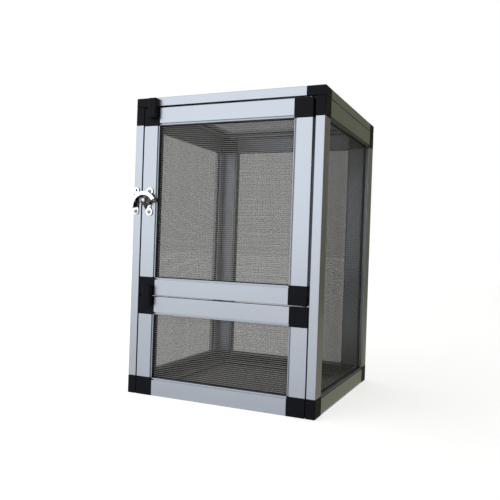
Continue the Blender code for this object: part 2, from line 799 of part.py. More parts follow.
def build_latch(cage, door, lever):
    """Builds the keeper on the left post, and the latch plate, its lever and their fasteners on the door."""
    attach(new_object("latch_keeper", keeper_mesh(), CHROME), cage)
    attach(new_object("keeper_screw", screw_mesh((KEEPER_FROM_LEFT, KEEPER_EARS[0])), CHROME), cage)
    attach(new_object("latch_base", base_mesh(), CHROME), door)
    for name, height in zip(("latch_lower_screw", "latch_upper_screw"), BASE_EARS):
        attach(new_object(name, screw_mesh((BASE_FROM_LEFT, height)), CHROME), door)
    attach(new_object("latch_rivet", rivet_mesh(), CHROME), door)
    attach(new_object("latch_lever", lever_mesh(), CHROME), lever)


def build_door_fittings(door):
    """Builds the door's pivot pins and its stop tabs."""
    for name, gap in pivot_gaps().items():
        attach(new_object(f"{name}_pivot_pin", pivot_mesh(gap), STEEL), door)
    for name, place in tab_places().items():
        attach(new_object(f"{name}_stop_tab", tab_mesh(place), BLACK_PLASTIC), door)


def join_panels(cage):
    """Adds the joining pins to their owners and cuts their bores in their sockets."""
    pins = joining_pins()
    for owner in sorted({pin.owner for pin in pins}):
        rods = [pin.rod for pin in pins if pin.owner == owner]
        combine(PARTS.objects[owner], new_cutter(f"{owner}_pins", rods_mesh(rods), cage), "UNION")
    bores = new_cutter("joining_bores", rods_mesh([pin.rod for pin in pins], FIT), cage)
    for socket in sorted({pin.socket for pin in pins}):
        combine(PARTS.objects[socket], bores, "DIFFERENCE")


def cut_bores(cage):
    """Cuts the bores for the pivot pins, the tabs' pegs and the latch's fasteners, clear all round."""
    lower, upper = (pivot_rod(gap) for gap in pivot_gaps().values())
    pegs = [tab_peg(place) for place in tab_places().values()]
    bored = {
        "lower_pivot_bore": ([lower], ["lower_front_top_right_corner", "door_bottom_right_corner"]),
        "upper_pivot_bore": ([upper], ["top_front_right_corner", "door_top_right_corner"]),
        "peg_bores": (pegs, ["door_bottom_left_corner", "door_top_left_corner"]),
        "fastener_bores": (fastener_rods(), ["door_left_rail", "left_side_front_rail"]),
    }
    for name, (rods, pieces) in bored.items():
        cutter = new_cutter(name, rods_mesh(rods, FIT), cage)
        for piece in pieces:
            combine(PARTS.objects[piece], cutter, "DIFFERENCE")


def main():
    """Builds the whole enclosure."""
    cage = new_anchor("cage_corner", Vector())
    door = new_anchor("door_pivot", Vector((PIVOT_X, PIVOT_SETBACK, DOOR_BOTTOM)), cage)
    lever = new_anchor("lever_pivot", Vector((LATCH_PIVOT[0], -LEVER_BACK, LATCH_PIVOT[1])), door)
    connector = corner_mesh()
    for panel in fixed_panels():
        build_panel(panel, cage, connector)
    build_panel(door_panel(), door, connector)
    build_door_fittings(door)
    build_latch(cage, door, lever)
    join_panels(cage)
    cut_bores(cage)


clear_scene()
PARTS = new_collection("reptile_enclosure")
CUTTERS = new_collection("cutters")
ALUMINIUM = new_material("aluminium", (0.62, 0.65, 0.70), 0.38, 1.0)
SCREEN = new_material("screen", (0.28, 0.28, 0.27), 0.55, 1.0)
BLACK_PLASTIC = new_material("black_plastic", (0.012, 0.012, 0.014), 0.45, 0.0)
CHROME = new_material("chrome", (0.85, 0.86, 0.88), 0.12, 1.0)
STEEL = new_material("steel", (0.55, 0.55, 0.56), 0.3, 1.0)
main()
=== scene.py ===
"""Looks of a screen-sided reptile enclosure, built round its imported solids.

Sizes are in metres. +Z is up, the door looks towards -Y and its pivots are at +X. Each framed panel takes its
place and its size from the solid of its own screen, so that every rail, corner block, wire and rubber strip
lies where the solids are.
"""

from __future__ import annotations

import logging
import math
from dataclasses import dataclass, field
from enum import Enum
from typing import Mapping, Optional, Sequence, Union

import bmesh
import bpy
from mathutils import Matrix, Vector


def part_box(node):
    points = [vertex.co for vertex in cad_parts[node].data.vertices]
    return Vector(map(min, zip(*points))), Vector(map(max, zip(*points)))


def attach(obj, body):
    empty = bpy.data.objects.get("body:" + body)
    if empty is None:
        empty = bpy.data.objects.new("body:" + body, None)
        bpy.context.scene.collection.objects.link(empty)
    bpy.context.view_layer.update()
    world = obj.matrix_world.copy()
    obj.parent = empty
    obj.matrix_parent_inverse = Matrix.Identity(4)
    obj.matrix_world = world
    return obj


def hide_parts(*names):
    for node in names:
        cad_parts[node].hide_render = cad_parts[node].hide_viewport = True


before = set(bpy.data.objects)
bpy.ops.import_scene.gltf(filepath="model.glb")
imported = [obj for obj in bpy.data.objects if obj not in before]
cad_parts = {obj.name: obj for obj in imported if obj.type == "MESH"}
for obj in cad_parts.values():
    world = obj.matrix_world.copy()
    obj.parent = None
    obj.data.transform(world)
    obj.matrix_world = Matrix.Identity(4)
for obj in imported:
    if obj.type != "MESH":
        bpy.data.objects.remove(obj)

Color = tuple[float, float, float]
Triple = tuple[float, float, float]  # a place, or a number for each axis
Point = tuple[float, float]
Pair = tuple[float, float]  # the two ends of a range, or a width and a height
LOG = logging.getLogger("enclosure")
WELD_DISTANCE = 0.000001  # vertices this near to each other are one
FLAT_ANGLE = math.radians(1)  # facets that meet at less than this are one flat face
SMOOTH_ANGLE = math.radians(40)  # edges sharper than this stay sharp
BROAD_FACE = 0.00025  # faces of more square metres than this are flat
CURVE_STEPS = 3  # straight pieces that make one rounded corner or edge
COARSE_DETAIL = 2  # finer layers of a plain noise
FINE_DETAIL = 3  # finer layers of a noise with small specks
MIX_INPUTS = (0, 6, 7)  # a colour Mix node's factor and its two colours
MIX_OUTPUT = 2  # its colour


class Facing(Enum):
    """Where a panel's outer face looks: its right, up and outward directions as seen from outside."""

    FRONT = ((1, 0, 0), (0, 0, 1), (0, -1, 0))
    BACK = ((-1, 0, 0), (0, 0, 1), (0, 1, 0))
    LEFT = ((0, -1, 0), (0, 0, 1), (-1, 0, 0))
    RIGHT = ((0, 1, 0), (0, 0, 1), (1, 0, 0))
    UP = ((1, 0, 0), (0, 1, 0), (0, 0, 1))
    DOWN = ((1, 0, 0), (0, -1, 0), (0, 0, -1))

    def basis(self) -> Matrix:
        """Returns the turn from the panel's own directions to the row frame."""
        return Matrix(self.value).transposed()


SIDE_WORDS = {
    (0, 0, 1): "top",
    (0, 0, -1): "bottom",
    (0, -1, 0): "front",
    (0, 1, 0): "back",
    (-1, 0, 0): "left",
    (1, 0, 0): "right",
}


class Signal:
    """A shader socket that takes part in arithmetic."""

    def __init__(self, sheet: "NodeSheet", socket: bpy.types.NodeSocket) -> None:
        """Wraps an output socket of a node on this sheet."""
        self.sheet = sheet
        self.socket = socket

    def output(self, name: str) -> "Signal":
        """Returns another output of the same node."""
        return Signal(self.sheet, self.socket.node.outputs[name])

    def _math(self, operation: str, first: "Value", second: "Value") -> "Signal":
        """Returns the result of a Math node."""
        return self.sheet.node("ShaderNodeMath", {"operation": operation}, {0: first, 1: second})

    def __add__(self, other: "Value") -> "Signal":
        """Returns the sum."""
        return self._math("ADD", self, other)

    def __radd__(self, other: "Value") -> "Signal":
        """Returns the sum, this socket second."""
        return self._math("ADD", other, self)

    def __sub__(self, other: "Value") -> "Signal":
        """Returns the difference."""
        return self._math("SUBTRACT", self, other)

    def __rsub__(self, other: "Value") -> "Signal":
        """Returns the difference, this socket second."""
        return self._math("SUBTRACT", other, self)

    def __mul__(self, other: "Value") -> "Signal":
        """Returns the product."""
        return self._math("MULTIPLY", self, other)

    def __rmul__(self, other: "Value") -> "Signal":
        """Returns the product, this socket second."""
        return self._math("MULTIPLY", other, self)


Value = Union[Signal, float]


class NodeSheet:
    """The node tree of one material or world."""

    def __init__(self, tree: bpy.types.NodeTree) -> None:
        """Takes a node tree and empties it."""
        self.tree = tree
        tree.nodes.clear()

    def node(
        self,
        kind: str,
        settings: Optional[Mapping[str, object]] = None,
        inputs: Optional[Mapping[Union[str, int], object]] = None,
        output: Union[str, int] = 0,
    ) -> Signal:
        """Adds a node.

        Args:
            kind: the node's type.
            settings: the node's own settings, such as an operation, which are set first.
            inputs: a value or a Signal for each input socket that is set.
            output: the output socket that is returned.

        Returns:
            The output socket.
        """
        made = self.tree.nodes.new(kind)
        for name, setting in (settings or {}).items():
            setattr(made, name, setting)
        for name, value in (inputs or {}).items():
            if isinstance(value, Signal):
                self.tree.links.new(value.socket, made.inputs[name])
            else:
                made.inputs[name].default_value = value
        return Signal(self, made.outputs[output]) if made.outputs else Signal(self, None)

    def mix(self, factor: Value, first: object, second: object) -> Signal:
        """Returns a colour that is the first one at a factor of 0 and the second one at 1."""
        inputs = dict(zip(MIX_INPUTS, (factor, self.rgba(first), self.rgba(second))))
        return self.node("ShaderNodeMix", {"data_type": "RGBA"}, inputs, MIX_OUTPUT)

    @staticmethod
    def rgba(color: object) -> object:
        """Returns a colour with its fourth number, or a Signal as it is."""
        return color if isinstance(color, Signal) else (*color, 1)

    def noise(
        self, where: Signal, scale: float, stretch: Triple = (1, 1, 1), detail: float = COARSE_DETAIL
    ) -> Signal:
        """Returns noise from 0 to 1 with scale spots to a metre, denser along each axis by stretch."""
        placed = self.node("ShaderNodeMapping", {}, {"Vector": where, "Scale": stretch})
        return self.node("ShaderNodeTexNoise", {}, {"Vector": placed, "Scale": scale, "Detail": detail})

    def ease(self, value: Value, start: float, end: float) -> Signal:
        """Makes a smooth step from 0 to 1.

        Args:
            value: the value.
            start: where the step begins.
            end: where it ends, above or below start.

        Returns:
            0 up to where the value is at start, and 1 from where it is at end.
        """
        low, high = min(start, end), max(start, end)
        levels = (0.0, 1.0) if start < end else (1.0, 0.0)
        inputs = {"Value": value, "From Min": low, "From Max": high, "To Min": levels[0], "To Max": levels[1]}
        return self.node("ShaderNodeMapRange", {"interpolation_type": "SMOOTHSTEP"}, inputs)

    def spread(self, pattern: Signal, levels: Pair) -> Signal:
        """Returns the lowest level plus the pattern times how much it adds."""
        least, more = levels
        return pattern * more + least

    def bump(self, height: Signal, distance: float) -> Signal:
        """Returns the normal of a surface whose height is this signal times distance, in metres."""
        return self.node("ShaderNodeBump", {}, {"Distance": distance, "Height": height})


def new_material(name: str, color: Color) -> tuple[bpy.types.Material, NodeSheet]:
    """Makes a material.

    Args:
        name: its name.
        color: its colour in the viewport.

    Returns:
        The material and its empty node sheet.
    """
    made = bpy.data.materials.new(name)
    made.use_nodes = True
    made.diffuse_color = (*color, 1)
    return made, NodeSheet(made.node_tree)


def finish_surface(sheet: NodeSheet, inputs: Mapping[str, object]) -> None:
    """Ends a material's nodes with a Principled shader that has these inputs."""
    shader = sheet.node("ShaderNodeBsdfPrincipled", {}, inputs)
    sheet.node("ShaderNodeOutputMaterial", {}, {"Surface": shader})


@dataclass(frozen=True)
class ExtrudedAluminium:
    """Satin anodised bar with fine lines along its length, which is its own X.

    A strip of its inner face along its outer edge, which lies against the next panel or low in the cage, can
    be darkened with painted shade, and so can the wall along its screen edge.
    """

    name: str = "extruded_aluminium"
    # how far in from the outer edge the strip of painted shade on the inner face reaches, 0 for none
    shade_strip_width: float = 0.0
    edge_blur: float = 0.0006
    inner_face: Pair = (-0.0128, -0.0136)
    lip_wall: Pair = (0.0268, 0.0272)
    # how strongly painted shade darkens the wall along the screen edge
    lip_shade: float = 0.65
    # the colour of the painted shade on that strip and on the wall along the screen edge
    painted_shade: Color = (0.008, 0.008, 0.009)
    color: Color = (0.448, 0.488, 0.548)
    shade: Color = (0.400, 0.434, 0.489)
    roughness: Pair = (0.26, 0.10)
    line_density: float = 2400
    line_stretch: Triple = (0.004, 1, 1)
    line_share: float = 0.35
    line_depth: float = 0.00002
    cloud_density: float = 28
    cloud_stretch: Triple = (0.35, 1, 1)

    def material(self) -> bpy.types.Material:
        """Makes the finish.

        Returns:
            The material.
        """
        made, sheet = new_material(self.name, self.color)
        where = sheet.node("ShaderNodeTexCoord", output="Object")
        lines = sheet.noise(where, self.line_density, self.line_stretch)
        clouds = sheet.noise(where, self.cloud_density, self.cloud_stretch, FINE_DETAIL)
        amount = lines * self.line_share + clouds * (1 - self.line_share)
        inwards = sheet.node("ShaderNodeSeparateXYZ", {}, {0: where}, "Y")
        tone = sheet.mix(amount, self.shade, self.color)
        # painted shade on the wall along the screen edge
        tone = sheet.mix(sheet.ease(inwards, *self.lip_wall) * self.lip_shade, tone, self.painted_shade)
        # painted shade on the strip of the inner face along the outer edge
        if self.shade_strip_width:
            near_edge = sheet.ease(inwards, self.shade_strip_width, self.shade_strip_width - self.edge_blur)
            covered = near_edge * sheet.ease(inwards.output("Z"), *self.inner_face)
            tone = sheet.mix(covered, tone, self.painted_shade)
        finish_surface(
            sheet,
            {
                "Base Color": tone,
                "Metallic": 1.0,
                "Roughness": sheet.spread(clouds, self.roughness),
                "Normal": sheet.bump(lines, self.line_depth),
            },
        )
        return made


@dataclass(frozen=True)
class MouldedPlastic:
    """Black plastic with a fine moulded grain."""

    color: Color = (0.0030, 0.0033, 0.0052)
    mottled_tone: Color = (0.0065, 0.0070, 0.0115)
    roughness: Pair = (0.38, 0.14)
    gloss: float = 0.10
    grain_density: float = 1500
    grain_depth: float = 0.00006
    cloud_density: float = 90

    def material(self) -> bpy.types.Material:
        """Makes the finish.

        Returns:
            The material.
        """
        made, sheet = new_material("moulded_plastic", self.color)
        where = sheet.node("ShaderNodeTexCoord", output="Object")
        grain = sheet.noise(where, self.grain_density)
        clouds = sheet.noise(where, self.cloud_density, detail=FINE_DETAIL)
        finish_surface(
            sheet,
            {
                "Base Color": sheet.mix(clouds, self.color, self.mottled_tone),
                "Roughness": sheet.spread(clouds, self.roughness),
                "Specular IOR Level": self.gloss,
                "Normal": sheet.bump(grain, self.grain_depth),
            },
        )
        return made


@dataclass(frozen=True)
class CoatedWire:
    """Screen wire with a dull grey coat."""

    color: Color = (0.45, 0.445, 0.42)
    light: Color = (0.56, 0.555, 0.525)
    roughness: float = 0.55
    gloss: float = 0.2
    patch_density: float = 60

    def material(self) -> bpy.types.Material:
        """Makes the finish.

        Returns:
            The material.
        """
        made, sheet = new_material("coated_wire", self.color)
        where = sheet.node("ShaderNodeTexCoord", output="Object")
        patches = sheet.noise(where, self.patch_density, detail=FINE_DETAIL)
        finish_surface(
            sheet,
            {
                "Base Color": sheet.mix(patches, self.color, self.light),
                "Roughness": self.roughness,
                "Specular IOR Level": self.gloss,
            },
        )
        return made


@dataclass(frozen=True)
class FineMesh:
    """Dark mesh too fine to see wire by wire, which dims what is behind it."""

    name: str
    cover: float
    color: Color = (0.026, 0.025, 0.023)
    light: Color = (0.040, 0.039, 0.036)
    roughness: float = 0.9
    patch_density: float = 60

    def material(self) -> bpy.types.Material:
        """Makes the finish.

        Returns:
            The material.
        """
        made, sheet = new_material(self.name, self.color)
        where = sheet.node("ShaderNodeTexCoord", output="Object")
        patches = sheet.noise(where, self.patch_density, detail=FINE_DETAIL)
        finish_surface(
            sheet,
            {
                "Base Color": sheet.mix(patches, self.color, self.light),
                "Roughness": self.roughness,
                "Specular IOR Level": 0.0,
                "Alpha": self.cover,
            },
        )
        return made


@dataclass(frozen=True)
class PlatedSteel:
    """Bright plated or plain drawn steel."""

    name: str
    color: Color
    shade: Color
    roughness: Pair
    spot_density: float = 400

    def material(self) -> bpy.types.Material:
        """Makes the finish.

        Returns:
            The material.
        """
        made, sheet = new_material(self.name, self.color)
        where = sheet.node("ShaderNodeTexCoord", output="Object")
        spots = sheet.noise(where, self.spot_density, detail=FINE_DETAIL)
        finish_surface(
            sheet,
            {
                "Base Color": sheet.mix(spots, self.shade, self.color),
                "Metallic": 1.0,
                "Roughness": sheet.spread(spots, self.roughness),
            },
        )
        return made


@dataclass(frozen=True)
class Patch:
    """A round patch or a ring of a latch piece, drawn on the cage's front, where its bright plating shows
    instead of the painted dark reflections and shade.

    With a rise, only what lies above the line of that slope through its centre belongs to it.
    """

    centre: Point
    inner: float
    outer: float
    blur: float = 0.0005
    rise: Optional[float] = None

    def mask(self, sheet: NodeSheet, where: Signal) -> Signal:
        """Marks the patch on a surface.

        Args:
            sheet: the material's node sheet.
            where: the coordinates in the row frame at rest.

        Returns:
            1 inside the patch and 0 outside it.
        """
        spot = (self.centre[0], 0, self.centre[1])
        flat = sheet.node("ShaderNodeVectorMath", {"operation": "MULTIPLY"}, {0: where, 1: (1, 0, 1)})
        away = sheet.node("ShaderNodeVectorMath", {"operation": "SUBTRACT"}, {0: flat, 1: spot})
        reach = sheet.node("ShaderNodeVectorMath", {"operation": "LENGTH"}, {0: away}, "Value")
        inside = sheet.ease(reach, self.outer + self.blur, self.outer - self.blur)
        if self.inner:
            inside = inside * sheet.ease(reach, self.inner - self.blur, self.inner + self.blur)
        if self.rise is not None:
            parts = sheet.node("ShaderNodeSeparateXYZ", {}, {0: away}, "X")
            inside = inside * sheet.ease(parts.output("Z") - parts * self.rise, -self.blur, self.blur)
        return inside


@dataclass(frozen=True)
class PlatedCasting:
    """Bright plated casting, with painted dark reflections and shade down its sides and outside its bright
    patches, mottled with painted grey reflections.
    """

    name: str
    patches: tuple[Patch, ...]
    # the plating's own colour, which shows only in the patches
    plated_tone: Color = (0.86, 0.87, 0.88)
    # painted dark reflection and shade outside the patches and down the sides
    dark_reflection: Color = (0.020, 0.019, 0.019)
    # painted grey reflections mottled into that
    grey_reflection: Color = (0.30, 0.29, 0.28)
    roughness: Pair = (0.17, 0.10)
    streak_density: float = 420
    streak_stretch: Triple = (1, 1, 2)
    streak_edge: Pair = (0.55, 0.68)
    # the span over which faces turning from the front go from plating to painted shade
    shaded_side_edge: Pair = (0.45, 0.85)

    def material(self) -> bpy.types.Material:
        """Makes the finish.

        Returns:
            The material.
        """
        made, sheet = new_material(self.name, self.plated_tone)
        where = sheet.node("ShaderNodeTexCoord", output="Object")
        # faces that turn away from the front get painted shade
        outward = 0 - sheet.node("ShaderNodeSeparateXYZ", {}, {0: where.output("Normal")}, "Y")
        # the patches where the plating shows
        bright_patches: Value = 0.0
        for patch in self.patches:
            bright_patches = bright_patches + patch.mask(sheet, where)
        spots = sheet.noise(where, self.streak_density, self.streak_stretch, FINE_DETAIL)
        # painted dark and grey reflections, mottled by the noise
        mottled_tone = sheet.mix(sheet.ease(spots, *self.streak_edge), self.dark_reflection, self.grey_reflection)
        # plating in the patches on faces towards the front, painted reflection and shade elsewhere
        bright = bright_patches * sheet.ease(outward, *self.shaded_side_edge)
        finish_surface(
            sheet,
            {
                "Base Color": sheet.mix(bright, mottled_tone, self.plated_tone),
                "Metallic": 1.0,
                "Roughness": sheet.spread(spots, self.roughness),
            },
        )
        return made


@dataclass(frozen=True)
class Rubber:
    """Dark matte rubber of the strips that hold the screens."""

    color: Color = (0.012, 0.012, 0.012)
    light: Color = (0.02, 0.02, 0.02)
    roughness: float = 0.75
    rib_density: float = 900
    rib_depth: float = 0.0001

    def material(self) -> bpy.types.Material:
        """Makes the finish.

        Returns:
            The material.
        """
        made, sheet = new_material("spline_rubber", self.color)
        where = sheet.node("ShaderNodeTexCoord", output="Object")
        ribs = sheet.noise(where, self.rib_density)
        finish_surface(
            sheet,
            {
                "Base Color": sheet.mix(ribs, self.color, self.light),
                "Roughness": self.roughness,
                "Normal": sheet.bump(ribs, self.rib_depth),
            },
        )
        return made


@dataclass
class Finishes:
    """The materials that the pieces share."""

    aluminium: bpy.types.Material
    # the next two have painted shade on their rails' inner faces
    covered_aluminium: bpy.types.Material
    stained_aluminium: bpy.types.Material
    plastic: bpy.types.Material
    wire: bpy.types.Material
    front_mesh: bpy.types.Material
    side_mesh: bpy.types.Material
    floor_mesh: bpy.types.Material
    bright: bpy.types.Material
    screw: bpy.types.Material
    steel: bpy.types.Material
    rubber: bpy.types.Material

    @classmethod
    def make(cls) -> "Finishes":
        """Makes a fresh set of materials.

        Returns:
            The set.
        """
        return cls(
            aluminium=ExtrudedAluminium().material(),
            # painted shade on the inner face's strip at the joint with the next panel
            covered_aluminium=ExtrudedAluminium(
                "covered_aluminium", shade_strip_width=0.0138, lip_shade=0.0
            ).material(),
            # painted shade over the inner face of rails low in the cage
            stained_aluminium=ExtrudedAluminium(
                "stained_aluminium", shade_strip_width=0.0256, painted_shade=(0.045, 0.042, 0.037)
            ).material(),
            plastic=MouldedPlastic().material(),
            wire=CoatedWire().material(),
            front_mesh=FineMesh("front_mesh", cover=0.19).material(),
            side_mesh=FineMesh(
                "side_mesh", cover=0.30, color=(0.034, 0.031, 0.024), light=(0.050, 0.046, 0.036)
            ).material(),
            floor_mesh=FineMesh("floor_mesh", cover=0.50).material(),
            bright=PlatedSteel(
                "bright_plate", color=(0.86, 0.87, 0.88), shade=(0.74, 0.75, 0.76), roughness=(0.10, 0.12)
            ).material(),
            screw=PlatedSteel(
                "screw_plate", color=(0.34, 0.34, 0.35), shade=(0.14, 0.14, 0.14), roughness=(0.24, 0.12)
            ).material(),
            steel=PlatedSteel(
                "drawn_steel", color=(0.16, 0.16, 0.165), shade=(0.08, 0.08, 0.085), roughness=(0.30, 0.12)
            ).material(),
            rubber=Rubber().material(),
        )


def new_object(name: str, data: bpy.types.ID, material: Optional[bpy.types.Material]) -> bpy.types.Object:
    """Adds an object to the scene.

    Args:
        name: its name.
        data: its mesh or curve.
        material: its only material, if any.

    Returns:
        The object.
    """
    made = bpy.data.objects.new(name, data)
    bpy.context.scene.collection.objects.link(made)
    if material:
        data.materials.clear()
        data.materials.append(material)
    return made


def evaluated_mesh(obj: bpy.types.Object) -> bpy.types.Mesh:
    """Applies an object's modifiers, and removes the object.

    Args:
        obj: the object.

    Returns:
        Its mesh as the modifiers leave it.
    """
    graph = bpy.context.evaluated_depsgraph_get()
    mesh = bpy.data.meshes.new_from_object(obj.evaluated_get(graph))
    bpy.data.objects.remove(obj, do_unlink=True)
    return mesh


def smooth(mesh: bpy.types.Mesh) -> None:
    """Shades a mesh smooth but for its sharp edges and its broad flat faces.

    Args:
        mesh: the mesh.
    """
    mesh.shade_smooth()
    mesh.set_sharp_from_angle(angle=SMOOTH_ANGLE)
    for face in mesh.polygons:
        if face.area > BROAD_FACE:
            face.use_smooth = False


def settle(piece: bpy.types.Object, body: str, nodes: Sequence[str]) -> None:
    """Says what a piece rides on and which solids it stands for.

    Args:
        piece: the piece, in its place.
        body: the body that it rides on.
        nodes: the solids that it replaces, if any.
    """
    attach(piece, body)
    if nodes:
        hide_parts(*nodes)
    LOG.info("%s rides on %s", piece.name, body)


def dress(nodes: Sequence[str], finish: bpy.types.Material) -> None:
    """Gives solids whose shapes stay as they are their finish.

    Args:
        nodes: the solids.
        finish: their material.
    """
    for name in nodes:
        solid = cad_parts[name]
        solid.data.materials.clear()
        solid.data.materials.append(finish)
        LOG.info("%s is dressed", name)


def rounded(outline: Sequence[Triple]) -> list[Point]:
    """Rounds the corners of an outline.

    Args:
        outline: each corner's two coordinates and its radius.

    Returns:
        The points of the rounded outline.
    """
    points: list[Point] = []
    for index, (x, y, radius) in enumerate(outline):
        here = Vector((x, y))
        before = Vector(outline[index - 1][:2]) - here
        after = Vector(outline[(index + 1) % len(outline)][:2]) - here
        if not radius:
            points.append((x, y))
            continue
        before.normalize()
        after.normalize()
        reach = radius / math.tan(before.angle(after) / 2)
        start = here + before * reach
        end = here + after * reach
        for step in range(CURVE_STEPS + 1):
            share = step / CURVE_STEPS
            curve = start.lerp(here, share).lerp(here.lerp(end, share), share)
            points.append((curve.x, curve.y))
    return points


def bar_mesh(section: Sequence[Point], start: float, length: float) -> bpy.types.Mesh:
    """Makes a solid bar along X.

    Args:
        section: the outline of its section, in Y and Z.
        start: where it begins along X.
        length: how long it is.

    Returns:
        Its mesh.
    """
    bm = bmesh.new()
    face = bm.faces.new([bm.verts.new((start, y, z)) for y, z in section])
    grown = bmesh.ops.extrude_face_region(bm, geom=[face])["geom"]
    moved = [item for item in grown if isinstance(item, bmesh.types.BMVert)]
    bmesh.ops.translate(bm, verts=moved, vec=(length, 0, 0))
    bmesh.ops.recalc_face_normals(bm, faces=bm.faces)
    mesh = bpy.data.meshes.new("bar")
    bm.to_mesh(mesh)
    bm.free()
    smooth(mesh)
    return mesh


def block_mesh(low: Sequence[float], high: Sequence[float], radius: float) -> bpy.types.Mesh:
    """Makes a block.

    Args:
        low: its lowest corner.
        high: its highest corner.
        radius: the radius of its edges, or 0 for sharp ones.

    Returns:
        Its mesh.
    """
    bm = bmesh.new()
    size = Vector(high) - Vector(low)
    middle = Matrix.Translation((Vector(low) + Vector(high)) / 2)
    bmesh.ops.create_cube(bm, size=1, matrix=middle @ Matrix.Diagonal((*size, 1)))
    if radius:
        bmesh.ops.bevel(
            bm, geom=bm.edges[:], offset=radius, segments=CURVE_STEPS, profile=0.5, affect="EDGES"
        )
    mesh = bpy.data.meshes.new("block")
    bm.to_mesh(mesh)
    bm.free()
    smooth(mesh)
    return mesh


def tube_curve(name: str, runs: Sequence[Sequence[Vector]], radius: float, resolution: int) -> bpy.types.Curve:
    """Makes round bars with closed ends.

    Args:
        name: the curve's name.
        runs: the points of each bar.
        radius: the bars' radius.
        resolution: the curve's bevel resolution.

    Returns:
        The curve that holds them.
    """
    curve = bpy.data.curves.new(name, "CURVE")
    curve.dimensions = "3D"
    curve.bevel_depth = radius
    curve.bevel_resolution = resolution
    curve.use_fill_caps = True
    for points in runs:
        spline = curve.splines.new("POLY")
        spline.points.add(len(points) - 1)
        for point, place in zip(spline.points, points):
            point.co = (*place, 1)
    return curve


@dataclass(frozen=True)
class RailProfile:
    """The section of the rails, from their outer edge inwards and from their outer face back."""

    width: float = 0.0275
    thickness: float = 0.014
    inset: float = 0.0001
    face_width: float = 0.024
    groove_width: float = 0.0020
    groove_depth: float = 0.0034
    bead_drop: float = 0.0006
    slot_front: float = 0.0066
    slot_width: float = 0.0042
    back_groove_depth: float = 0.0015
    edge_radius: float = 0.0009
    groove_radius: float = 0.0004
    fit: float = 0.0003

    def section(self) -> list[Point]:
        """Draws the section.

        Returns:
            Its outline, y inwards and z towards the outer face.
        """
        near = self.inset
        far = self.thickness - self.inset
        bead = self.face_width + self.groove_width
        end = self.width - self.inset
        slot_back = self.slot_front + self.slot_width
        corners = [
            (near, near, self.edge_radius),
            (self.face_width, near, self.groove_radius),
            (self.face_width, self.groove_depth, 0),
            (bead, self.groove_depth, 0),
            (bead, self.bead_drop, self.groove_radius),
            (end, self.bead_drop, self.edge_radius),
            (end, self.slot_front, self.groove_radius),
            (self.face_width, self.slot_front, 0),
            (self.face_width, slot_back, 0),
            (end, slot_back, self.groove_radius),
            (end, self.thickness - self.bead_drop, self.edge_radius),
            (bead, self.thickness - self.bead_drop, self.groove_radius),
            (bead, far - self.back_groove_depth, 0),
            (self.face_width, far - self.back_groove_depth, 0),
            (self.face_width, far, self.groove_radius),
            (near, far, self.edge_radius),
        ]
        return rounded([(inwards, -depth, radius) for inwards, depth, radius in corners])


@dataclass(frozen=True)
class Weave:
    """Wire screen: straight wires up and down, and waved ones across that pass to and fro between them.

    The finer mesh between the wires is a thin sheet at depth, which the waved wires pass through.
    """

    column_pitch: float = 0.0025
    row_pitch: float = 0.0029
    upright_radius: float = 0.00013
    radius: float = 0.00016
    lift: float = 0.00026
    depth: float = 0.00715
    sheet_thickness: float = 0.00010
    roundness: int = 0

    @staticmethod
    def places(span: float, pitch: float) -> list[float]:
        """Returns the places of the wires that fit in a span on both sides of its middle."""
        count = int(span / pitch)
        return [(index - (count - 1) / 2) * pitch for index in range(count)]

    def copies(self, curve: bpy.types.Curve, count: int, step: Vector) -> bpy.types.Mesh:
        """Repeats a curve in a row.

        Args:
            curve: the curve.
            count: how many there are in all.
            step: the distance and direction from one to the next.

        Returns:
            The mesh of them all.
        """
        obj = new_object("wires", curve, None)
        mesh = evaluated_mesh(obj)
        row = new_object("wires", mesh, None)
        array = row.modifiers.new("copies", "ARRAY")
        array.count = count
        array.use_relative_offset = False
        array.use_constant_offset = True
        array.constant_offset_displace = step
        return evaluated_mesh(row)

    def mesh(self, width: float, height: float) -> bpy.types.Mesh:
        """Makes the wires of a screen, drawn flat about its middle.

        Args:
            width: the screen's width.
            height: its height.

        Returns:
            Their mesh.
        """
        across = self.places(width, self.column_pitch)
        rows = self.places(height, self.row_pitch)
        wide = width / 2
        tall = height / 2
        behind = -self.upright_radius - self.sheet_thickness
        upright = [[Vector((across[0], -tall, behind)), Vector((across[0], tall, behind))]]
        waves = []
        for row in range(2):
            waved = [
                Vector((place, rows[row], self.lift if (index + row) % 2 else -self.lift))
                for index, place in enumerate(across)
            ]
            ends = [Vector((side, rows[row], 0)) for side in (-wide, wide)]
            waves.append([ends[0], *waved, ends[1]])
        straight = tube_curve("upright", upright, self.upright_radius, self.roundness)
        crossing = tube_curve("waves", waves, self.radius, self.roundness)
        bm = bmesh.new()
        bm.from_mesh(self.copies(straight, len(across), Vector((self.column_pitch, 0, 0))))
        bm.from_mesh(self.copies(crossing, len(rows) // 2, Vector((0, 2 * self.row_pitch, 0))))
        bmesh.ops.translate(bm, verts=bm.verts, vec=(0, 0, -self.depth))
        whole = bpy.data.meshes.new("weave")
        bm.to_mesh(whole)
        bm.free()
        whole.shade_smooth()
        return whole


